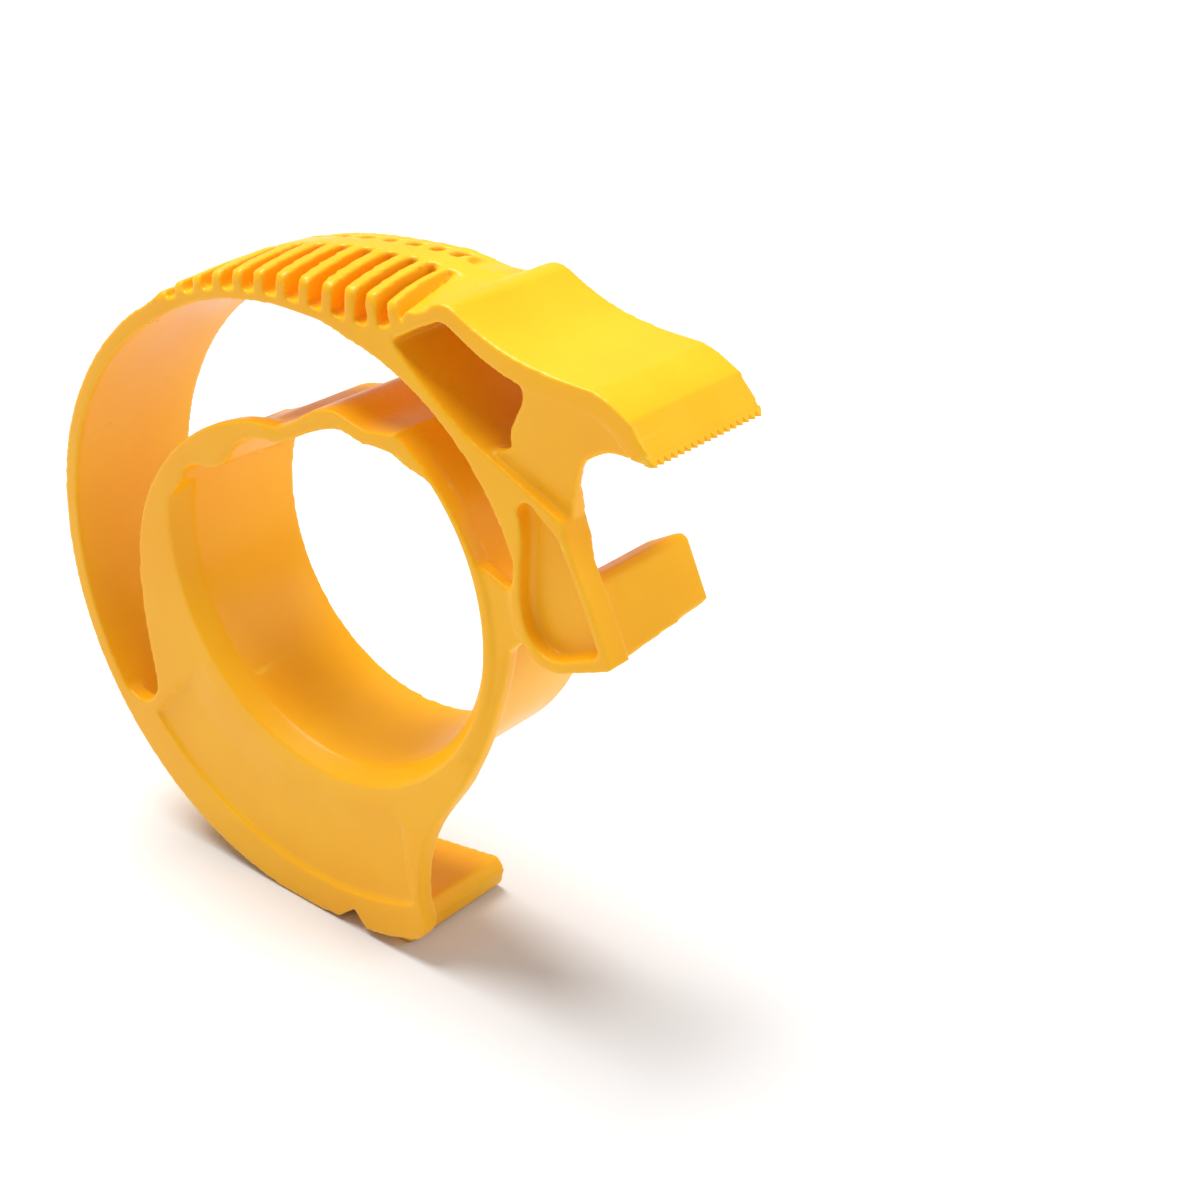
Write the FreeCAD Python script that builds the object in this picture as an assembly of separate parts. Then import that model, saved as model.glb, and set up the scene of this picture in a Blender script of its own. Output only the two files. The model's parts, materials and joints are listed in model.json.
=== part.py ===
import FreeCAD, Part
import math
import os

os.makedirs("parts", exist_ok=True)

# A hand-held tape dispenser, moulded in one piece.  The roll slips over a hub sleeve, the hand goes
# through the opening between the hub and the handle, and the tape runs over a landing tab and is torn
# on a toothed nose.  The moulding is divided here into its working regions, which meet face to face.
#
# Frame: origin at the middle of the footprint, on the surface it stands on.  +X runs from the handle to
# the nose, +Y from the flanged side to the open side where the roll goes on, +Z up.  Millimetres.

# ---- driving dimensions ----
BODY_WIDTH = 28.0          # over everything, along Y
FLANGE_THICKNESS = 3.4     # the side plate that the roll stops against
HUB_X, HUB_Z = -1.0, 68.8  # hub axis
SLEEVE_R = 38.0            # fits a 76.2 mm (3 inch) core
BORE_R_MOUTH = 35.0        # bore just behind the flared mouth
BORE_R_FAR = 34.4          # bore at the open end, after the mould's draft
MOUTH_R = 37.6             # flared mouth of the bore on the flanged side
RIM_R = 39.3               # narrow rim round the mouth
RIM_SHIFT = (0.67, -1.84)  # a second rim circle stands off by this, so the rim tapers to both cuts
RECESS_R = 41.5            # the side panel's recess stops short of the rim
FLANGE_R = 41.2            # the wider part of the flange, on the nose side
ROLL_R = 47.4              # the space that a full roll turns in
LOOP_X, LOOP_Z = -7.4, 60.9
LOOP_R = 60.9              # outside of the handle loop
LOOP_WALL = 3.2
RIM_WIDTH = 7.9            # raised rim of the side panel, inside the loop
PANEL_RECESS = 0.7
SPRING_START = 158.5       # where the sprung chord leaves the sleeve, degrees about the hub
SPRING_END = 61.5
SPRING_DEPTH = 5.1         # the sleeve's wall measured along the spring's travel
SPRING_GAP = 0.3           # clearance at each end of the sprung chord
SPRING_AXIS = (0.351, -0.936)   # the way the chord is pushed in, in X and Z
RIB_PITCH = 5.1            # along the grip's skin
RIB_THICKNESS = 2.3
RIB_SKEW = 0.165           # each rib slants back this much for every millimetre of width
RIB_COUNT = 12             # the first stands just past the skin's end, on the foot of the roof
RIB_FIRST = 0.9            # how far past
RIB_EDGE_R = 1.6           # rounding of each rib's outer corner
SPINE_NEAR, SPINE_FAR = 1.8, 6.6   # the ribs' spine, in Y: the flanged side's grooves are the longer ones
GRIP_RIM_NEAR = 11.8       # from here to the open side the grip has a plain rim
WEB_THICKNESS = 1.8        # the cutter head's side web
WEB_LEAN = 2.4             # how far the web's foot stands back from its top
TOOTH_COUNT = 17
TOOTH_DEPTH = 0.8
NOSE_TIP_X, NOSE_TIP_Z = 68.3, 112.2
NOSE_ROOT = (67.2, 113.5)  # the upper edge of the teeth
POCKET_DEPTH = 3.0
FRAME_DEPTH = 5.0          # the front frame, from its face to its back
NOTCH_APEX = (6.3, 4.2)    # top of the notch between the band and the leg
BRIDGE_STEP = 0.5          # the flange's nose side lies this far below the frame's face

NEAR = -BODY_WIDTH / 2
FAR = BODY_WIDTH / 2
FLANGE_BACK = NEAR + FLANGE_THICKNESS
BIG = 200.0                # larger than the whole object, for cutting tools


# ---- helpers ----
def around(cx, cz, radius, degrees):
    """The point at an angle on a circle in the side view."""
    angle = math.radians(degrees)
    return (cx + radius * math.cos(angle), cz + radius * math.sin(angle))


def hub_point(radius, degrees):
    return around(HUB_X, HUB_Z, radius, degrees)


def loop_point(radius, degrees):
    return around(LOOP_X, LOOP_Z, radius, degrees)


def along_spring(point, distance):
    return (point[0] + SPRING_AXIS[0] * distance, point[1] + SPRING_AXIS[1] * distance)


def vector(point, y):
    return FreeCAD.Vector(point[0], y, point[1])


def arc(middle, end):
    """One step of an outline: an arc through a middle point to its end."""
    return ("arc", middle, end)


def curve(*points):
    """One step of an outline: a smooth curve through points to the last of them."""
    return ("curve",) + points


def edges_of(path, y):
    edges = []
    here = path[0]
    for step in path[1:] + [path[0]]:
        if step[0] == "arc":
            edges.append(Part.Arc(vector(here, y), vector(step[1], y), vector(step[2], y)).toShape())
            here = step[2]
        elif step[0] == "curve":
            spline = Part.BSplineCurve()
            spline.interpolate([vector(here, y)] + [vector(p, y) for p in step[1:]])
            edges.append(spline.toShape())
            here = step[-1]
        elif math.dist(here, step) > 0.001:
            edges.append(Part.LineSegment(vector(here, y), vector(step, y)).toShape())
            here = step
    return edges


def slab(path, y0, y1):
    """A closed outline in the side view, carried along Y."""
    face = Part.Face(Part.Wire(edges_of(path, y0)))
    return face.extrude(FreeCAD.Vector(0, y1 - y0, 0))


def rod(cx, cz, radius, y0, y1):
    base = FreeCAD.Vector(cx, y0, cz)
    return Part.makeCylinder(radius, y1 - y0, base, FreeCAD.Vector(0, 1, 0))


def save(node, shape):
    shape = shape.removeSplitter()
    solids = shape.Solids
    body = solids[0] if len(solids) == 1 else Part.makeCompound(solids)
    assert body.isValid(), node
    body.exportStep("parts/" + node + ".step")
    print(node, len(solids), round(body.Volume, 1))
    return body


# ---- the loop: handle, lower band and foot ----
HANDLE_TOP = (-44.5, 107.2)          # where the grip's ribs run out into the plain band
HANDLE_TOP_INSIDE = (-42.7, 104.3)
WEB_ROOT_ANGLE = 218.0               # where the side plate leaves the band
NOTCH_LEFT_ANGLE = 279.5             # left edge of the notch in front of the foot
BAND_TURN = 165.0                    # above this the handle is a little flatter than the loop


def handle_band():
    turn_outside = loop_point(LOOP_R, BAND_TURN)
    turn_inside = loop_point(LOOP_R - LOOP_WALL, BAND_TURN)
    root_outside = loop_point(LOOP_R, WEB_ROOT_ANGLE)
    root_inside = loop_point(LOOP_R - LOOP_WALL, WEB_ROOT_ANGLE)
    outline = [
        HANDLE_TOP,
        arc((-56.1, 96.0), turn_outside),
        arc(loop_point(LOOP_R, 190), root_outside),
        root_inside,
        arc(loop_point(LOOP_R - LOOP_WALL, 190), turn_inside),
        arc((-53.7, 94.0), HANDLE_TOP_INSIDE),
    ]
    return slab(outline, NEAR, FAR)


def lower_band():
    middle = (WEB_ROOT_ANGLE + NOTCH_LEFT_ANGLE) / 2
    inside = LOOP_R - LOOP_WALL
    outline = [
        loop_point(LOOP_R, WEB_ROOT_ANGLE),
        arc(loop_point(LOOP_R, middle), loop_point(LOOP_R, NOTCH_LEFT_ANGLE)),
        loop_point(inside, NOTCH_LEFT_ANGLE),
        arc(loop_point(inside, middle), loop_point(inside, WEB_ROOT_ANGLE)),
    ]
    return slab(outline, NEAR, FAR)


def foot_plate():
    """The band runs out into a thicker flat foot behind the side plate."""
    outline = [
        loop_point(LOOP_R, NOTCH_LEFT_ANGLE),
        curve((6.2, 0.6), (9.7, 0.0)),
        (17.0, 0.0),
        (18.6, 1.4),
        (18.9, 4.6),
        (17.2, 6.7),
        loop_point(LOOP_R - LOOP_WALL, NOTCH_LEFT_ANGLE),
    ]
    return slab(outline, FLANGE_BACK, FAR)


# ---- the side plate on the flanged side ----
LEG_X = 21.2                         # the panel ends here and the leg's thicker edge begins
PLATE_LOWER_RIGHT = (24.1, 10.2)
PLATE_NECK = (34.0, 45.0)            # where the plate's edge reaches the flange's radius
CRESCENT_STEP = 0.5                  # how far the crescent stands outside the sleeve at the spring's start


def side_outline():
    """Everything in the side plate below and behind the hub, out to the inside of the loop."""
    inside = LOOP_R - LOOP_WALL
    return [
        loop_point(inside, WEB_ROOT_ANGLE),
        arc(loop_point(inside, 250), loop_point(inside, NOTCH_LEFT_ANGLE)),
        loop_point(LOOP_R, NOTCH_LEFT_ANGLE),
        NOTCH_APEX,
        (9.6, 1.2),
        curve((14.6, 2.3), (19.6, 4.1), (22.6, 5.6), (23.9, 7.6), PLATE_LOWER_RIGHT),
        (23.2, 12.8),
        curve((22.8, 16.7), (23.3, 22.3), (25.0, 28.6), (27.7, 34.0), (31.3, 39.7), PLATE_NECK),
        hub_point(SLEEVE_R, -36),
        arc(hub_point(SLEEVE_R, -120), hub_point(SLEEVE_R, SPRING_START)),
        along_spring(hub_point(SLEEVE_R, SPRING_START), -CRESCENT_STEP),
        curve((-39.2, 80.2), (-43.3, 74.3), (-46.6, 66.3), (-48.0, 56.3), (-47.4, 45.0), (-45.4, 33.4)),
        curve((-45.5, 30.6), (-46.9, 28.2), (-49.7, 26.5), (-52.7, 26.8),
              loop_point(inside, WEB_ROOT_ANGLE - 3)),
    ]


def side_plate():
    return slab(side_outline(), NEAR, FLANGE_BACK)


def panel_recess():
    """The shallow pocket in the plate's face, with a rim left round it."""
    radius = LOOP_R - RIM_WIDTH
    outline = [
        (-45.8, 25.3),
        arc(loop_point(radius, 262), (18.6, 11.3)),
        (LEG_X, 12.6),
        (18.7, 27.8),
        hub_point(RECESS_R, -65),
        arc(hub_point(RECESS_R, -100), hub_point(RECESS_R, -139)),
        (-41.3, 31.3),
    ]
    return slab(outline, NEAR, NEAR + PANEL_RECESS)


def leg_region():
    left = NOTCH_APEX[0]
    outline = [(left, 9.6), (LEG_X, 12.6), (18.7, 27.8), (40.0, 27.8), (40.0, -5.0), (left, -5.0)]
    return slab(outline, NEAR, FLANGE_BACK)


def crescent_region():
    outline = [(-60.0, 20.0), (-45.8, 25.3), (-41.3, 31.3), hub_point(RIM_R, -139),
               hub_point(RIM_R - 4, 180), hub_point(RIM_R - 5, SPRING_START), (-30.0, 95.0), (-60.0, 95.0)]
    return slab(outline, NEAR, FLANGE_BACK)


# ---- the hub ----
def sleeve_sector(y0, y1):
    """Everything but the sprung chord: two cuts along the spring's travel, and the wedge between them."""
    start = hub_point(SLEEVE_R, SPRING_START)
    end = hub_point(SLEEVE_R, SPRING_END)
    inward, outward = 8.0, -30.0
    outline = [along_spring(start, inward), along_spring(start, outward),
               along_spring(end, outward), along_spring(end, inward)]
    return slab(outline, y0, y1)


def bore():
    """Flared mouth through the flange, then a slight taper to the open end."""
    profile = [(0, NEAR - 1), (MOUTH_R, NEAR - 1), (MOUTH_R, NEAR), (BORE_R_MOUTH, FLANGE_BACK),
               (BORE_R_FAR, FAR + 1), (0, FAR + 1)]
    corners = [FreeCAD.Vector(HUB_X + r, y, HUB_Z) for r, y in profile]
    face = Part.Face(Part.makePolygon(corners + [corners[0]]))
    return face.revolve(corners[0], FreeCAD.Vector(0, 1, 0), 360)


def hub_sleeve():
    ring = rod(HUB_X, HUB_Z, SLEEVE_R, FLANGE_BACK, FAR).cut(bore())
    return ring.cut(sleeve_sector(NEAR - 1, FAR + 1))


def hub_rim():
    ring = rod(HUB_X, HUB_Z, RIM_R, NEAR, FLANGE_BACK).cut(bore())
    ring = ring.common(rod(HUB_X + RIM_SHIFT[0], HUB_Z + RIM_SHIFT[1], RIM_R, NEAR, FLANGE_BACK))
    return ring.cut(sleeve_sector(NEAR - 1, FAR + 1))


def spring_outline():
    """The wavy chord.  Its inside face is the one that shows in the bore."""
    start = hub_point(SLEEVE_R, SPRING_START)
    end = hub_point(SLEEVE_R, SPRING_END)
    return [
        start,
        curve((-32.4, 84.5), (-26.8, 87.3), (-21.1, 90.4), (-15.9, 93.8), (-10.3, 95.4),
              (-5.0, 98.4), (-0.6, 101.3), (2.9, 102.3), (6.4, 101.8), (9.7, 101.1), (13.6, 101.5), end),
        along_spring(end, SPRING_DEPTH),
        curve((15.6, 98.7), (13.0, 98.7), (9.7, 98.4), (5.7, 99.2), (0.7, 98.0), (-4.3, 95.5), (-10.3, 92.5),
              (-15.3, 91.7), (-19.3, 89.6), (-21.8, 86.8), (-23.3, 84.8), (-25.3, 83.3), (-28.3, 82.4),
              (-31.3, 81.8), (-33.7, 80.2), along_spring(start, SPRING_DEPTH)),
    ]


def crescent_end():
    """The side plate's crescent tapers out along the outside of the chord."""
    start = hub_point(SLEEVE_R, SPRING_START)
    outline = [
        along_spring(start, -CRESCENT_STEP),
        curve((-33.3, 86.2), (-28.3, 89.8), (-23.3, 92.3), (-18.3, 94.2), (-14.8, 94.9), (-11.6, 95.2)),
        (-11.6, 94.2),
        (-15.9, 92.8),
        (-21.1, 89.2),
        (-26.8, 85.8),
        (-32.4, 83.0),
        along_spring(start, 1.0),
    ]
    return slab(outline, NEAR, FLANGE_BACK)


def hub_spring():
    chord = slab(spring_outline(), NEAR, FAR).fuse(crescent_end())
    for angle in (SPRING_START, SPRING_END):
        chord = chord.cut(end_gap(angle))
    return chord


def end_gap(angle):
    """A slot along the spring's travel, which leaves the chord free of the sleeve."""
    side = 1 if angle == SPRING_START else -1
    across = (-SPRING_AXIS[1] * side, SPRING_AXIS[0] * side)
    x, z = hub_point(SLEEVE_R, angle)
    before = (x - across[0], z - across[1])
    after = (x + across[0] * SPRING_GAP, z + across[1] * SPRING_GAP)
    reach = 12.0
    outline = [along_spring(before, -reach), along_spring(before, reach),
               along_spring(after, reach), along_spring(after, -reach)]
    return slab(outline, NEAR - 1, FAR + 1)


# ---- the grip ----
GRIP_END = (16.7, 120.4)             # where the skin turns up into the cutter head
ROOF_FOOT = (21.0, 122.6)
ROOF_RISE = (23.6, 124.6)
SKIN_INSIDE_END = hub_point(ROLL_R, 80.5)


def skin_outside():
    return curve((-38.3, 110.2), (-28.3, 114.9), (-18.3, 117.5), (-8.3, 118.8), (1.7, 118.9), (11.7, 119.1),
                 GRIP_END)


def grip_skin():
    outline = [
        HANDLE_TOP,
        skin_outside(),
        (17.3, 117.4),
        SKIN_INSIDE_END,
        curve((1.7, 116.8), (-5.0, 117.2), (-18.3, 115.7), (-28.3, 112.7), (-36.3, 108.6), HANDLE_TOP_INSIDE),
    ]
    return slab(outline, NEAR, FAR)


EDGE_CROWN = [(20.0, 123.6), (11.7, 124.3), (1.7, 124.0), (-13.3, 122.1), (-23.3, 119.6), (-32.9, 115.4)]
SPINE_CROWN = [(20.0, 124.9), (11.7, 125.6), (1.7, 125.2), (-13.3, 123.1), (-23.3, 120.4), (-32.9, 115.9)]


def under_crown(crown):
    """The outline between the skin and a crown line over it."""
    return [HANDLE_TOP, skin_outside(), ROOF_FOOT, ROOF_RISE, curve(*crown, HANDLE_TOP)]


def crown_height(foot, up, crown):
    ray = Part.makeLine(foot, foot + up * 20)
    inside = ray.common(slab(under_crown(crown), -1, 1))
    return max((v.Point - foot).Length for v in inside.Vertexes)


def rib(foot, along, y_outer, y_spine, edge_r):
    """One rib between the spine and an outer end, its top crowned and its outer corner rounded."""
    up = FreeCAD.Vector(-along.z, 0, along.x)
    y_middle = (y_outer + y_spine) / 2

    def place(height, y):
        slant = along * (RIB_SKEW * (y - y_middle))
        return FreeCAD.Vector(foot.x, y, foot.z) + up * height - slant

    low = crown_height(foot, up, EDGE_CROWN)
    high = crown_height(foot, up, SPINE_CROWN)
    rounding = min(edge_r, low * 0.8)
    turn = rounding if y_spine > y_outer else -rounding
    lean = 1 - math.sin(math.radians(45))
    shoulder = place(low, y_outer + turn)
    ridge = place(high, y_spine)
    crown = place(low + (high - low) * 0.75, (y_outer + turn + y_spine) / 2)
    side = place(low - rounding, y_outer)
    edges = [Part.LineSegment(ridge, place(-1, y_spine)).toShape(),
             Part.LineSegment(place(-1, y_spine), place(-1, y_outer)).toShape(),
             Part.LineSegment(place(-1, y_outer), side).toShape()]
    if rounding > 0:
        bend = place(low - rounding * lean, y_outer + turn * lean)
        edges.append(Part.Arc(side, bend, shoulder).toShape())
    edges.append(Part.Arc(shoulder, crown, ridge).toShape())
    plate = Part.Face(Part.Wire(edges)).extrude(along * RIB_THICKNESS)
    plate.translate(along * (-RIB_THICKNESS / 2))
    return plate


def grip_ribs(y_outer, y_spine, edge_r):
    """Ribs one pitch apart along the skin, each square to it."""
    skin = edges_of([HANDLE_TOP, skin_outside()], 0)[0]
    above = slab([HANDLE_TOP, skin_outside(), ROOF_FOOT, (60.0, 160.0), (-90.0, 160.0)], NEAR, FAR)
    slant = RIB_SKEW * ((y_outer + y_spine) / 2 - NEAR)
    ribs = []
    for i in range(RIB_COUNT):
        past = RIB_FIRST - i * RIB_PITCH - slant
        place = skin.getParameterByLength(skin.Length + min(past, 0))
        along = skin.tangentAt(place)
        foot = skin.valueAt(place) + along * max(past, 0)
        ribs.append(rib(foot, along, y_outer, y_spine, edge_r).common(above).Solids[0])
    return Part.makeCompound(ribs)


def grip_spine():
    return slab(under_crown(SPINE_CROWN), SPINE_NEAR, SPINE_FAR)


def grip_root():
    """The grip's solid end, which runs up into the cutter head; its face slants like the ribs."""
    left = ROOF_FOOT[0] - 1.1
    plan = [(left, NEAR), (left - RIB_SKEW * BODY_WIDTH, FAR), (left + 20, FAR), (left + 20, NEAR)]
    points = [FreeCAD.Vector(x, y, 100) for x, y in plan]
    block = Part.Face(Part.makePolygon(points + [points[0]])).extrude(FreeCAD.Vector(0, 0, 60))
    root = slab(under_crown(EDGE_CROWN), NEAR, FAR).common(block)
    return root.cut(grip_spine()).cut(grip_rim_far())


def grip_rim_far():
    """The plain rim that closes the far grooves."""
    return slab(under_crown(EDGE_CROWN), GRIP_RIM_NEAR, FAR)


# ---- the cutter head ----
STRIP_ANGLE = 43.0                   # about the hub, where the strip passes into the front frame
STRIP_TOP_START = (32.6, 106.4)
STRIP_TOP_END = (51.8, 98.1)
FRAME_SHOULDER = (52.6, 95.8)        # the front frame's edge below the strip's end
FRAME_EDGE = (54.9, 91.3)


def strip_top(x):
    """The straight upper edge of the diagonal strip."""
    slope = (STRIP_TOP_END[1] - STRIP_TOP_START[1]) / (STRIP_TOP_END[0] - STRIP_TOP_START[0])
    return (x, STRIP_TOP_START[1] + slope * (x - STRIP_TOP_START[0]))


ROOF_FRONT = (56.5, 120.8)           # where the roof turns down into the nose
ROOF_FRONT_INSIDE = (55.5, 117.4)
WEB_FRONT = (64.0, NOSE_TIP_Z)       # where the nose's inside meets the web's lower edge
WEB_TOP = (47.5, 117.5)
PARTITION_BACK = (44.6, 117.6)
PARTITION_FRONT = (42.6, 117.8)
NOSE_SHOULDER = (63.3, 118.0)        # from here the nose falls straight to the teeth
WEB_EDGE = [(54.2, 108.2), (53.2, 105.6), (52.5, 101.9), (52.2, 100.0)]   # under the cutting mouth
NOSE_INSIDE = [(57.6, 117.0), (60.0, 115.9), (62.2, 114.3)]


def head_roof():
    outline = [
        GRIP_END,
        ROOF_FOOT,
        ROOF_RISE,
        arc((27.0, 126.6), (30.0, 125.8)),
        curve((33.6, 124.2), (39.8, 122.2), (47.7, 121.1), ROOF_FRONT),
        ROOF_FRONT_INSIDE,
        WEB_TOP,
        PARTITION_BACK,
        PARTITION_FRONT,
        curve((36.0, 119.5), (31.7, 121.4), (28.7, 123.0)),
        arc((27.0, 123.4), (24.9, 122.7)),
        (21.7, 121.1),
        (17.6, 118.6),
    ]
    return slab(outline, NEAR, FAR)


def nose():
    outline = [
        ROOF_FRONT,
        curve((60.0, 119.7), NOSE_SHOULDER),
        NOSE_ROOT,
        (NOSE_TIP_X - 1.9, NOSE_TIP_Z),
        WEB_FRONT,
        curve(*reversed(NOSE_INSIDE), ROOF_FRONT_INSIDE),
    ]
    return slab(outline, NEAR, FAR)


def cutter_teeth():
    """Moulded teeth: a wedge along the nose, cut into points along Y."""
    wedge = slab([NOSE_ROOT, (NOSE_TIP_X, NOSE_TIP_Z), (NOSE_TIP_X - 1.9, NOSE_TIP_Z)], NEAR, FAR)
    pitch = BODY_WIDTH / TOOTH_COUNT
    root = NOSE_TIP_X - TOOTH_DEPTH
    points = [FreeCAD.Vector(NOSE_TIP_X - 6, NEAR, 100)]
    for i in range(TOOTH_COUNT):
        y = NEAR + i * pitch
        points.append(FreeCAD.Vector(root, y, 100))
        points.append(FreeCAD.Vector(NOSE_TIP_X, y + pitch / 2, 100))
    points.append(FreeCAD.Vector(root, FAR, 100))
    points.append(FreeCAD.Vector(NOSE_TIP_X - 6, FAR, 100))
    points.append(points[0])
    comb = Part.Face(Part.makePolygon(points)).extrude(FreeCAD.Vector(0, 0, 30))
    return wedge.common(comb)


def head_web():
    """The thin web that carries the nose, leaning back towards its foot."""
    outline = [
        PARTITION_FRONT,
        PARTITION_BACK,
        WEB_TOP,
        ROOF_FRONT_INSIDE,
        curve(*NOSE_INSIDE, WEB_FRONT),
        curve((61.2, 111.8), (59.0, 111.4), (56.4, 110.0), *WEB_EDGE),
        STRIP_TOP_END,
        strip_top(36.0),
        (38.6, 105.6),
        (40.2, 106.6),
        curve((41.3, 112.0), (42.8, 115.4), PARTITION_FRONT),
    ]
    web = slab(outline, NEAR, NEAR + WEB_THICKNESS + WEB_LEAN)
    return web.common(leaning_band(0, WEB_THICKNESS))


def leaning_band(front, thickness):
    """A slab whose faces lean back by WEB_LEAN between the roof and the strip."""
    top, bottom = 119.0, 98.0
    lean = WEB_LEAN / (top - bottom)
    y_top = NEAR + front - lean * 10
    y_bottom = NEAR + front + WEB_LEAN + lean * 10
    points = [
        FreeCAD.Vector(0, y_top, top + 10),
        FreeCAD.Vector(0, y_bottom, bottom - 10),
        FreeCAD.Vector(0, y_bottom + thickness, bottom - 10),
        FreeCAD.Vector(0, y_top + thickness, top + 10),
    ]
    face = Part.Face(Part.makePolygon(points + [points[0]]))
    return face.extrude(FreeCAD.Vector(BIG, 0, 0))


def behind_web():
    """Everything on the open side of the leaning web."""
    return leaning_band(WEB_THICKNESS, BIG)


def web_gusset():
    """The thickening behind the web's free edge and the frame's, deepest where the two meet."""
    outline = [
        WEB_EDGE[0],
        curve(*WEB_EDGE[1:]),
        STRIP_TOP_END,
        FRAME_SHOULDER,
        FRAME_EDGE,
        (52.6, 90.8),
        (50.6, 95.0),
        curve((49.9, 99.0), (50.6, 103.6), (52.2, 108.4)),
    ]
    depths = [(-1.0, 109.0), (1.8, 107.8), (4.9, 101.2), (6.1, 98.0), (6.3, 95.0), (FRAME_DEPTH, 91.0),
              (-1.0, 91.0)]
    points = [FreeCAD.Vector(0, NEAR + depth, z) for depth, z in depths]
    taper = Part.Face(Part.makePolygon(points + [points[0]])).extrude(FreeCAD.Vector(BIG, 0, 0))
    gusset = slab(outline, NEAR, NEAR + 2 * FRAME_DEPTH).common(behind_web()).common(taper)
    return gusset.cut(slab(frame_outline(), NEAR, NEAR + FRAME_DEPTH))


def head_partition():
    """The wall across the width that closes the head's hollow on the nose side."""
    outline = [
        (40.2, 106.6),
        curve((41.3, 112.0), (42.8, 115.4), PARTITION_FRONT),
        PARTITION_BACK,
        curve((44.6, 115.4), (43.2, 111.5), (42.2, 105.6)),
        strip_top(42.0),
        strip_top(38.6),
        (38.6, 105.6),
    ]
    return slab(outline, NEAR, FAR).common(behind_web())


def head_strip():
    """The diagonal roof over the roll, from the grip down to the front frame."""
    low = hub_point(ROLL_R, STRIP_ANGLE)
    outline = [
        SKIN_INSIDE_END,
        arc(hub_point(ROLL_R, 62), low),
        strip_top(39.5),
        (32.6, 106.4),
        curve((28.0, 109.3), (23.0, 112.7), (17.3, 117.4)),
    ]
    return slab(outline, NEAR, FAR)


# ---- the front frame and the landing tab ----
def frame_outline():
    low = hub_point(ROLL_R, STRIP_ANGLE)
    return [
        low,
        arc(hub_point(ROLL_R, 33), hub_point(ROLL_R, 24.5)),
        (42.0, 84.0),
        curve((42.2, 80.0), (43.6, 76.2), (46.0, 73.3), (49.6, 71.8), (53.0, 72.3)),
        (61.5, 75.9),
        (62.4, 76.8),
        (61.8, 78.0),
        (57.6, 86.5),
        FRAME_EDGE,
        FRAME_SHOULDER,
        STRIP_TOP_END,
        strip_top(39.5),
    ]


def pocket_outline():
    return [
        (42.9, 96.9),
        arc((44.0, 98.9), (46.3, 98.3)),
        (50.8, 95.2),
        (55.4, 87.0),
        (59.6, 78.6),
        (58.9, 77.2),
        curve((53.7, 74.9), (49.8, 74.0), (46.9, 75.3), (44.7, 78.8), (43.8, 84.0), (42.9, 96.9)),
    ]


def front_frame():
    body = slab(frame_outline(), NEAR, NEAR + FRAME_DEPTH)
    body = body.cut(slab(pocket_outline(), NEAR, NEAR + POCKET_DEPTH))
    return body.cut(rod(HUB_X, HUB_Z, ROLL_R, FLANGE_BACK, FAR))


def flange_bridge():
    """The wider flange on the nose side, a little below the frame's face."""
    outline = [
        hub_point(SLEEVE_R, -36),
        PLATE_NECK,
        arc(hub_point(FLANGE_R, -14), (41.4, 71.6)),
        (44.6, 74.8),
        curve((42.8, 78.0), (42.0, 84.0)),
        (40.6, 83.0),
        hub_point(SLEEVE_R, 26),
        arc(hub_point(SLEEVE_R, -5), hub_point(SLEEVE_R, -36)),
    ]
    return slab(outline, NEAR + BRIDGE_STEP, FLANGE_BACK).cut(front_frame()).cut(hub_rim())


def landing_tab():
    """The plate that the tape's end lies on: a face towards the nose and a shelf over it."""
    shelf = [(56.4, 86.2), (55.8, 87.3), (54.4, 87.9), (50.8, 86.5), (51.2, 84.7), (53.2, 85.2), (54.1, 84.5)]
    sections = []
    for y, low_front, low_back in ((NEAR + FRAME_DEPTH, (61.2, 75.8), (59.2, 75.2)),
                                   (FAR, (60.7, 77.4), (58.7, 76.9))):
        points = [vector(p, y) for p in [low_front] + shelf + [low_back, low_front]]
        sections.append(Part.makePolygon(points))
    tab = Part.makeLoft(sections, True, True)
    corner = [FreeCAD.Vector(x, y, 80) for x, y in ((50.0, 8.2), (54.9, FAR + 0.5), (50.0, FAR + 0.5))]
    cut_corner = Part.Face(Part.makePolygon(corner + [corner[0]])).extrude(FreeCAD.Vector(0, 0, 10))
    return tab.cut(cut_corner)


def main():
    rim = hub_rim()
    plate = side_plate().cut(rim)
    leg = plate.common(leg_region())
    crescent = plate.common(crescent_region())
    panel = plate.cut(leg).cut(crescent).cut(panel_recess())
    crescent = crescent.cut(panel_recess())
    leg = leg.cut(panel_recess())
    save("handle_band", handle_band())
    save("lower_band", lower_band())
    save("foot_plate", foot_plate())
    save("foot_leg", leg)
    save("side_panel", panel)
    save("side_crescent", crescent)
    save("hub_rim", rim)
    save("hub_sleeve", hub_sleeve())
    save("hub_spring", hub_spring())
    save("flange_bridge", flange_bridge())
    save("grip_skin", grip_skin())
    save("grip_spine", grip_spine())
    save("grip_ribs_near", grip_ribs(NEAR, SPINE_NEAR, RIB_EDGE_R))
    save("grip_ribs_far", grip_ribs(GRIP_RIM_NEAR, SPINE_FAR, 0))
    save("grip_rim_far", grip_rim_far())
    save("grip_root", grip_root())
    save("head_roof", head_roof())
    save("nose", nose())
    save("cutter_teeth", cutter_teeth())
    save("head_web", head_web())
    save("web_gusset", web_gusset())
    save("head_partition", head_partition())
    save("head_strip", head_strip())
    save("front_frame", front_frame())
    save("landing_tab", landing_tab())


main()
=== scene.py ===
import json
import math

import bmesh
import bpy
from mathutils import Matrix, Vector


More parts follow.
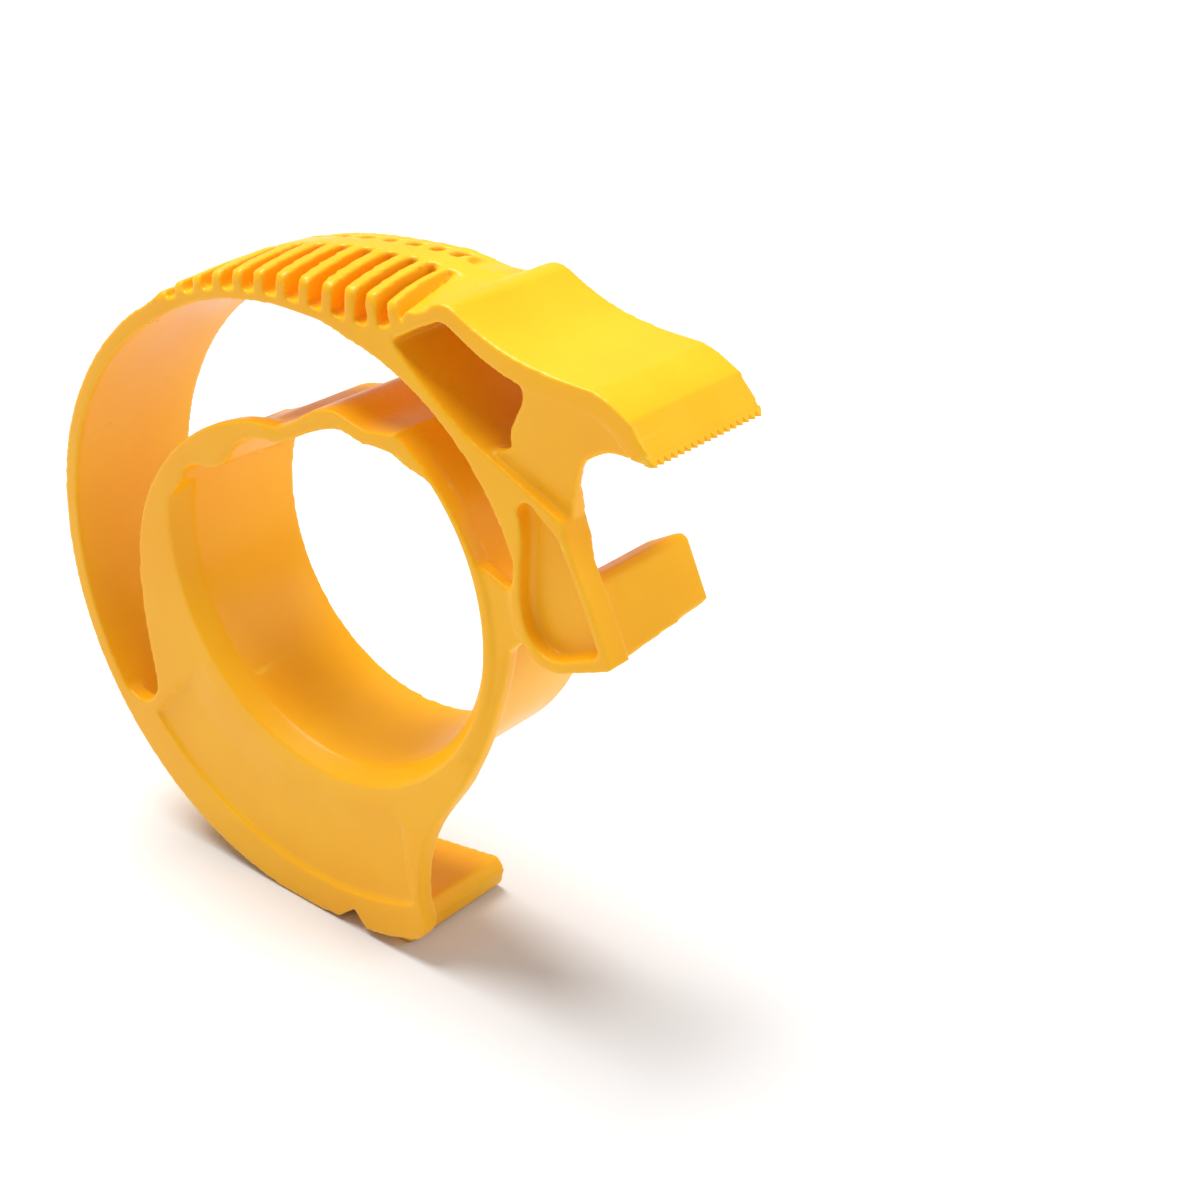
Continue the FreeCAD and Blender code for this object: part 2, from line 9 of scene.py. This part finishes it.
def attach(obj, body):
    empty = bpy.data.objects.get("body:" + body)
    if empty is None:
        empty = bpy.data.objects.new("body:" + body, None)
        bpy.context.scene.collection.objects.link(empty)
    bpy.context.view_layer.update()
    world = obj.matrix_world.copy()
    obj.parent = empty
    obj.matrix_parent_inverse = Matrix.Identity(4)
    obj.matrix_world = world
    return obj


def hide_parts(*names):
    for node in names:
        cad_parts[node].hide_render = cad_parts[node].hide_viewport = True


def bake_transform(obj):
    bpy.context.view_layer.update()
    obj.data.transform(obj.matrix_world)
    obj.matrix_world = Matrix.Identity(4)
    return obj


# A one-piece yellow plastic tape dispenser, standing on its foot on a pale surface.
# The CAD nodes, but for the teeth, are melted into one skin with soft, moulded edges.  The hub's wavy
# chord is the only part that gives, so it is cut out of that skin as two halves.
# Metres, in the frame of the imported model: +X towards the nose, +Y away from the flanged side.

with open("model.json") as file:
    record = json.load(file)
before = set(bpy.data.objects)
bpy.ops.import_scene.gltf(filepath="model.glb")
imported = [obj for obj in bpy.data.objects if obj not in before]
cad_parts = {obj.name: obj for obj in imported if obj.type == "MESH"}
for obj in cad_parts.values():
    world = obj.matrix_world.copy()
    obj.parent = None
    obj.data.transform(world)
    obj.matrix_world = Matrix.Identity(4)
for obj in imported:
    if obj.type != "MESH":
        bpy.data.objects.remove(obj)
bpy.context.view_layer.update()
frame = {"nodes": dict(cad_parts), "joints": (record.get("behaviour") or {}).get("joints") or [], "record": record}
NODES = frame["nodes"]

MM = 0.001
VOXEL = 0.40 * MM          # fine enough for the ribs
SMOOTH_STEPS = 9           # each step rounds the moulded edges a little more
SKIN_TRIANGLES = 185_000   # kept in the whole skin
HALF_WIDTH = 14.0 * MM
CRISP_X, CRISP_Z = 64.5 * MM, 110.0 * MM   # past here the nose stays sharp, for the teeth
CRISP_FADE = 3.0 * MM
CUT_BAND = 3.0 * MM        # faces this near to a cut across the chord are the ones it may split

# Shapes that the mould eases.  Sizes without MM are in millimetres already.
RAMP_FROM, RAMP_TO, RAMP_STEPS = -141, -63, 40   # degrees about the hub, over the panel's recess
RAMP_SECTION = ((40.8, -14.0), (49.5, -13.28), (49.5, -12.0), (40.8, -12.0))   # radius and Y
# Under the chord's ends: Y, the bore's radius there, and how far round the hub the easing reaches.
MOUTH_EASING = ((-14.0, 37.6, 8.5), (-10.0, 35.0, 2.0))
WALL_OVERLAP = 0.9
LIP_OVERLAP, ROOT_OVERLAP = 0.1 * MM, 1.5 * MM
# The grip's first groove on both sides, the neck over the foot, and the run-out behind the last rib.
EASED = (
    ((19.2, -14, 120.8), (19.2, -14, 123.0), (24.4, -14, 124.8), (24.4, -14, 123.6),
     (15.6, 2, 119.5), (15.6, 2, 124.5), (24.4, 2, 125.3), (24.4, 2, 123.6)),
    ((14.8, 6.5, 119.5), (14.8, 6.5, 124.5), (24.4, 6.5, 125.3), (24.4, 6.5, 123.6),
     (13.9, 12, 119.5), (13.9, 12, 123.9), (24.4, 12, 124.9), (24.4, 12, 123.6)),
    ((29.2, -14, 46.7), (33.8, -14, 45.2), (31.5, -13.47, 50.5), (35.4, -13.47, 48.8),
     (29.2, -13, 46.7), (33.8, -13, 45.2), (31.5, -13, 50.5), (35.4, -13, 48.8)),
    ((-38.6, -14, 109.0), (-38.6, -14, 111.3), (-44.3, -14, 107.0), (-44.3, -14, 105.8),
     (-40.8, 2, 107.6), (-40.8, 2, 110.0), (-44.4, 2, 107.1), (-44.4, 2, 105.8)),
)
NOSE_EDGE = ((64.5, 116.5), (67.55, 113.0), (67.5, 112.25), (64.5, 112.3))   # X and Z, up to the tooth roots

# The hub and its sprung chord: the hub's axis and radius come from the pin mount in the record.
HUB = next(m for m in frame["record"]["mounts"] if m["name"] == "tape_hub")
HUB_CENTRE = Vector((HUB["pos_m"][0], 0, HUB["pos_m"][2]))
SLEEVE_R = HUB["dims"]["r_mm"] * MM
PRESS = next(j for j in frame["joints"] if j["name"] == "spring_press")
INWARD = Vector(PRESS["axis"]).normalized()
ROOT_ANGLES = (158.5, 61.5)                # where the chord leaves the sleeve, in degrees
CHORD_DEPTH = 5.1 * MM
CHORD_REACH = 8.0 * MM                     # how far the chord waves to either side of its roots
ROOT_GAP = 0.3 * MM
ROOT_RISE = 0.2 * MM                       # how far the filling of that gap starts outside the sleeve


def hub_point(degrees):
    angle = math.radians(degrees)
    return HUB_CENTRE + Vector((math.cos(angle), 0, math.sin(angle))) * SLEEVE_R


LEFT_ROOT, RIGHT_ROOT = (hub_point(angle) for angle in ROOT_ANGLES)
ACROSS = INWARD.cross(Vector((0, 1, 0)))   # along the chord
if ACROSS.dot(RIGHT_ROOT - LEFT_ROOT) < 0:
    ACROSS = -ACROSS
CHORD_LENGTH = (RIGHT_ROOT - LEFT_ROOT).dot(ACROSS)
CHORD_MIDDLE = LEFT_ROOT + ACROSS * (CHORD_LENGTH / 2)


# ---- the skin ----
def add_box(mesh, corner, edges):
    """A box from one corner and its three edge vectors."""
    box = bmesh.ops.create_cube(mesh, size=1.0)
    for vert in box["verts"]:
        share = [c + 0.5 for c in vert.co]
        vert.co = corner + edges[0] * share[0] + edges[1] * share[1] + edges[2] * share[2]


def close_root(mesh, root, towards):
    """Fill the gap that the CAD leaves at one end of the chord."""
    width = Vector((0, 2 * HALF_WIDTH, 0))
    corner = root - INWARD * ROOT_RISE - towards * ROOT_GAP - width / 2
    depth = INWARD * (CHORD_DEPTH - 2 * ROOT_RISE)
    add_box(mesh, corner, (depth, width, towards * (3 * ROOT_GAP)))


def add_hull(mesh, corners):
    """A convex solid from its corners, in millimetres."""
    verts = [mesh.verts.new(Vector(corner) * MM) for corner in corners]
    bmesh.ops.convex_hull(mesh, input=verts)


def ease_root(mesh, root, turn):
    """Under the chord's end the flared mouth runs into the chord's lip without a notch."""
    lip = (root + INWARD * (CHORD_DEPTH - LIP_OVERLAP)) / MM
    inside = (root + INWARD * ROOT_OVERLAP) / MM
    centre = HUB_CENTRE / MM
    angle = math.atan2(lip.z - centre.z, lip.x - centre.x)
    corners = []
    for y, radius, reach in MOUTH_EASING:
        wall = angle + math.radians(reach) * turn
        corners.append((lip.x, y, lip.z))
        corners.append((inside.x, y, inside.z))
        for r in (radius, radius + WALL_OVERLAP):
            corners.append((centre.x + r * math.cos(wall), y, centre.z + r * math.sin(wall)))
    add_hull(mesh, corners)


def add_swept(mesh, rings):
    """A solid through closed outlines, which all have the same number of corners."""
    rings = [[mesh.verts.new(corner) for corner in ring] for ring in rings]
    mesh.faces.new(rings[0])
    mesh.faces.new(reversed(rings[-1]))
    for here, after in zip(rings, rings[1:]):
        for i in range(len(here)):
            j = (i + 1) % len(here)
            mesh.faces.new((here[j], here[i], after[i], after[j]))


def seat_teeth(mesh):
    """Carry the nose on to the roots of the teeth, so that they are cut into its edge."""
    add_swept(mesh, [[(x * MM, side * HALF_WIDTH, z * MM) for x, z in NOSE_EDGE] for side in (-1, 1)])


def ease_recess(mesh):
    """On the hub's side the panel's recess runs out to nothing instead of ending in a step."""
    rings = []
    for step in range(RAMP_STEPS + 1):
        angle = math.radians(RAMP_FROM + (RAMP_TO - RAMP_FROM) * step / RAMP_STEPS)
        rings.append([(HUB_CENTRE.x + r * MM * math.cos(angle), y * MM,
                       HUB_CENTRE.z + r * MM * math.sin(angle)) for r, y in RAMP_SECTION])
    add_swept(mesh, rings)


def applied(piece):
    """The piece with its modifiers made final."""
    evaluated = piece.evaluated_get(bpy.context.evaluated_depsgraph_get())
    final = bpy.data.meshes.new_from_object(evaluated)
    piece.modifiers.clear()
    old = piece.data
    piece.data = final
    bpy.data.meshes.remove(old)


def crispness(place):
    """0 where the moulding is rounded, 1 at the nose's teeth."""
    past = min(place.x - CRISP_X, place.z - CRISP_Z)
    return min(max(past / CRISP_FADE + 1, 0), 1)


def melted(nodes):
    gathered = bmesh.new()
    for node in nodes:
        gathered.from_mesh(NODES[node].data)
    close_root(gathered, LEFT_ROOT, ACROSS)
    close_root(gathered, RIGHT_ROOT, -ACROSS)
    seat_teeth(gathered)
    ease_recess(gathered)
    ease_root(gathered, LEFT_ROOT, 1)
    ease_root(gathered, RIGHT_ROOT, -1)
    for corners in EASED:
        add_hull(gathered, corners)
    mesh = bpy.data.meshes.new("moulding_skin")
    gathered.to_mesh(mesh)
    gathered.free()
    piece = bpy.data.objects.new("moulding_skin", mesh)
    bpy.context.scene.collection.objects.link(piece)

    remesh = piece.modifiers.new("melt", "REMESH")
    remesh.mode = "VOXEL"
    remesh.voxel_size = VOXEL
    applied(piece)

    rounded = piece.vertex_groups.new(name="rounded")
    levels = {}
    for vert in piece.data.vertices:
        levels.setdefault(round(1 - crispness(vert.co), 1), []).append(vert.index)
    for weight, found in levels.items():
        rounded.add(found, weight, "REPLACE")
    smooth = piece.modifiers.new("round", "SMOOTH")
    smooth.factor = 0.5
    smooth.iterations = SMOOTH_STEPS
    smooth.vertex_group = "rounded"
    thin = piece.modifiers.new("thin", "DECIMATE")
    thin.ratio = min(1, SKIN_TRIANGLES / (2 * len(piece.data.polygons)))
    applied(piece)
    piece.vertex_groups.clear()
    return piece


def part_of(place):
    """Which piece of the skin a point is on."""
    along = (place - LEFT_ROOT).dot(ACROSS)
    deep = (place - LEFT_ROOT).dot(INWARD)
    if 0 < along < CHORD_LENGTH and abs(deep) < CHORD_REACH:
        return "spring_left" if along < CHORD_LENGTH / 2 else "spring_right"
    return "moulding_skin"


def divided(skin):
    """Cut the chord's two halves out of the skin; the shading runs on unbroken across the cuts."""
    whole = bmesh.new()
    whole.from_mesh(skin.data)
    whole.normal_update()
    kept_normal = whole.verts.layers.float_vector.new("kept_normal")
    for vert in whole.verts:
        vert[kept_normal] = vert.normal
    for place in (LEFT_ROOT, CHORD_MIDDLE, RIGHT_ROOT):
        near = [f for f in whole.faces
                if abs((f.calc_center_median() - place).dot(ACROSS)) < CUT_BAND
                and abs((f.calc_center_median() - LEFT_ROOT).dot(INWARD)) < CHORD_REACH]
        around = set(near) | {e for f in near for e in f.edges} | {v for f in near for v in f.verts}
        bmesh.ops.bisect_plane(whole, geom=list(around), plane_co=place, plane_no=ACROSS)
    pieces = {}
    for name in ("moulding_skin", "spring_left", "spring_right"):
        part = whole.copy()
        layer = part.verts.layers.float_vector["kept_normal"]
        others = [f for f in part.faces if part_of(f.calc_center_median()) != name]
        bmesh.ops.delete(part, geom=others, context="FACES")
        normals = [tuple(v[layer]) for v in part.verts]
        part.verts.layers.float_vector.remove(layer)
        for face in part.faces:
            face.smooth = True
        mesh = bpy.data.meshes.new(name)
        part.to_mesh(mesh)
        part.free()
        mesh.normals_split_custom_set_from_vertices(normals)
        if name == "moulding_skin":
            skin.data = mesh
            pieces[name] = skin
        else:
            pieces[name] = bpy.data.objects.new(name, mesh)
            bpy.context.scene.collection.objects.link(pieces[name])
        print(name, len(mesh.polygons), "faces")
    whole.free()
    return pieces


MELTED = [n for n in NODES if n != "cutter_teeth"]
pieces = divided(melted(MELTED))
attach(pieces["moulding_skin"], "moulding")
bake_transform(pieces["spring_left"])
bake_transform(pieces["spring_right"])
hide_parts(*[n for n in MELTED if n != "hub_spring"])
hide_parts("hub_spring")
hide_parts("hub_spring")


# ---- material ----
class Shader:
    """Short names for the nodes of one material."""

    def __init__(self, name):
        self.material = bpy.data.materials.new(name)
        self.material.use_nodes = True
        self.tree = self.material.node_tree
        self.surface = self.tree.nodes["Principled BSDF"]
        self.place = self.add("ShaderNodeTexCoord").outputs["Object"]

    def add(self, kind, **settings):
        node = self.tree.nodes.new(kind)
        for key, value in settings.items():
            setattr(node, key, value)
        return node

    def feed(self, socket, value):
        if isinstance(value, (int, float, tuple)):
            socket.default_value = value
        else:
            self.tree.links.new(value, socket)

    def noise(self, size, detail=2.0, roughness=0.5, stretch=(1, 1, 1)):
        """Noise with features of about a size in metres."""
        mapping = self.add("ShaderNodeMapping")
        self.feed(mapping.inputs["Vector"], self.place)
        mapping.inputs["Scale"].default_value = stretch
        node = self.add("ShaderNodeTexNoise")
        self.feed(node.inputs["Vector"], mapping.outputs["Vector"])
        node.inputs["Scale"].default_value = 1 / size
        node.inputs["Detail"].default_value = detail
        node.inputs["Roughness"].default_value = roughness
        return node.outputs["Fac"]

    def ranged(self, value, low, high, to_low, to_high):
        node = self.add("ShaderNodeMapRange")
        self.feed(node.inputs["Value"], value)
        for key, number in zip(("From Min", "From Max", "To Min", "To Max"), (low, high, to_low, to_high)):
            node.inputs[key].default_value = number
        return node.outputs["Result"]

    def times(self, first, second):
        node = self.add("ShaderNodeMath", operation="MULTIPLY")
        self.feed(node.inputs[0], first)
        self.feed(node.inputs[1], second)
        return node.outputs["Value"]

    def plus(self, first, second):
        node = self.add("ShaderNodeMath", operation="ADD")
        self.feed(node.inputs[0], first)
        self.feed(node.inputs[1], second)
        return node.outputs["Value"]

    def mixed(self, share, first, second):
        node = self.add("ShaderNodeMix", data_type="RGBA")
        self.feed(node.inputs["Factor"], share)
        self.feed(node.inputs["A"], first)
        self.feed(node.inputs["B"], second)
        return node.outputs["Result"]

    def bump(self, height, distance, below=None):
        node = self.add("ShaderNodeBump")
        self.feed(node.inputs["Height"], height)
        node.inputs["Strength"].default_value = 1.0
        node.inputs["Distance"].default_value = distance
        if below is not None:
            self.feed(node.inputs["Normal"], below)
        return node.outputs["Normal"]


YELLOW = (0.95, 0.480, 0.012, 1)
YELLOW_DEEP = (0.93, 0.425, 0.007, 1)      # cloudy patches where the colour is denser
PAINTED_EDGE_HIGHLIGHT = (0.96, 0.66, 0.06, 1)          # painted highlight along the convex edges
PAINTED_CREASE_SHADE = (0.89, 0.40, 0.006, 1)            # painted shade in the creases and grooves


def moulded_plastic(name, even):
    """Glossy polypropylene: cloudy colour, flow marks, fine grain, hairline scratches, a painted highlight on the
    edges and painted shade in the creases.

    The painted edge highlight and crease shade need an even mesh; the coarse teeth do without.
    """
    s = Shader(name)
    pointed = s.add("ShaderNodeNewGeometry").outputs["Pointiness"] if even else 0.5
    patches = s.ranged(s.noise(26 * MM, 3), 0.35, 0.68, 0, 1)
    speckle = s.noise(1.6 * MM, 4, 0.6)
    # Painted highlight: convex edges (high pointiness) turn paler, broken up by speckle.
    painted_edge_highlight = s.times(s.ranged(pointed, 0.515, 0.60, 0, 0.6), s.ranged(speckle, 0.35, 0.62, 0.15, 1))
    # Painted shade: concave creases (low pointiness) turn a deeper orange, broken up by speckle.
    painted_crease_shade = s.times(s.ranged(pointed, 0.485, 0.42, 0, 0.5), s.ranged(speckle, 0.3, 0.7, 0.5, 1))
    colour = s.mixed(patches, YELLOW, YELLOW_DEEP)
    colour = s.mixed(painted_edge_highlight, colour, PAINTED_EDGE_HIGHLIGHT)
    colour = s.mixed(painted_crease_shade, colour, PAINTED_CREASE_SHADE)
    s.feed(s.surface.inputs["Base Color"], colour)

    scratches = s.ranged(s.noise(0.9 * MM, 2, 0.5, (0.04, 1, 0.5)), 0.66, 0.74, 0, 1)
    hairlines = s.ranged(s.noise(0.8 * MM, 2, 0.5, (1, 0.5, 0.05)), 0.68, 0.75, 0, 1)
    marks = s.plus(scratches, hairlines)
    gloss = s.ranged(s.noise(14 * MM, 3), 0.3, 0.7, 0.27, 0.40)
    s.feed(s.surface.inputs["Roughness"], s.plus(gloss, s.times(marks, 0.10)))

    flow = s.bump(s.noise(9 * MM, 1, 0.4, (1, 1, 0.45)), 0.10 * MM)
    grain = s.bump(s.noise(0.35 * MM, 2, 0.6), 0.006 * MM, flow)
    s.feed(s.surface.inputs["Normal"], s.bump(marks, -0.004 * MM, grain))
    s.surface.inputs["IOR"].default_value = 1.45
    s.surface.inputs["Specular IOR Level"].default_value = 0.28
    s.surface.inputs["Subsurface Weight"].default_value = 0.10
    s.surface.inputs["Subsurface Radius"].default_value = (1.0, 0.45, 0.08)
    s.surface.inputs["Subsurface Scale"].default_value = 2.0 * MM
    return s.material


def clothe(mesh, material):
    mesh.materials.clear()
    mesh.materials.append(material)


plastic = moulded_plastic("yellow_plastic", True)
for piece in pieces.values():
    clothe(piece.data, plastic)
clothe(NODES["cutter_teeth"].data, moulded_plastic("yellow_plastic_teeth", False))


# ---- floor, light and camera ----
FLOOR_SIZE = 6
FLOOR_GREY = (0.74, 0.74, 0.74, 1)
SKY = 0.37
SUN_POWER, SUN_SPREAD = 4.3, math.radians(40)
SOFTBOX_POWER, SOFTBOX_SIZE = 1.9, 0.5


def surface_floor():
    bpy.ops.mesh.primitive_plane_add(size=FLOOR_SIZE)
    floor = bpy.context.object
    floor.name = "floor"
    material = bpy.data.materials.new("floor")
    material.use_nodes = True
    shader = material.node_tree.nodes["Principled BSDF"]
    shader.inputs["Base Color"].default_value = FLOOR_GREY
    shader.inputs["Roughness"].default_value = 0.9
    floor.data.materials.append(material)


def lamp(name, kind, place, target, energy, size):
    """A sun, whose size is the angle it fills, or a square softbox."""
    data = bpy.data.lights.new(name, kind)
    data.energy = energy
    if kind == "SUN":
        data.angle = size
    else:
        data.shape = "SQUARE"
        data.size = size
    item = bpy.data.objects.new(name, data)
    bpy.context.scene.collection.objects.link(item)
    item.location = place
    item.rotation_euler = (Vector(target) - Vector(place)).to_track_quat("-Z", "Y").to_euler()


surface_floor()
lamp("overhead", "SUN", (-0.40, 0.0, 1.0), (0, 0, 0), SUN_POWER, SUN_SPREAD)
lamp("right softbox", "AREA", (0.60, 0.28, 0.55), (0, 0, 0.06), SOFTBOX_POWER, SOFTBOX_SIZE)

world = bpy.data.worlds.new("world")
bpy.context.scene.world = world
world.use_nodes = True
world.node_tree.nodes["Background"].inputs["Color"].default_value = (1, 1, 1, 1)
world.node_tree.nodes["Background"].inputs["Strength"].default_value = SKY
bpy.context.scene.view_settings.view_transform = "Standard"

CAMERA_AT = Vector((0.22317, -0.23045, 0.23187))
CAMERA_RIGHT = Vector((0.79798, 0.60268, 0.0))
CAMERA_UP = Vector((-0.2824, 0.3739, 0.8835))
CAMERA_ROLL = math.radians(2.704)
LENS, SENSOR = 61.17, 36.0

camera_data = bpy.data.cameras.new("camera")
camera_data.lens = LENS
camera_data.sensor_width = SENSOR
camera_data.clip_start = 0.01
camera = bpy.data.objects.new("camera", camera_data)
bpy.context.scene.collection.objects.link(camera)
back = CAMERA_RIGHT.cross(CAMERA_UP)
axes = Matrix((CAMERA_RIGHT, CAMERA_UP, back)).transposed()
camera.matrix_world = Matrix.Translation(CAMERA_AT) @ axes.to_4x4() @ Matrix.Rotation(CAMERA_ROLL, 4, "Z")
bpy.context.scene.camera = camera
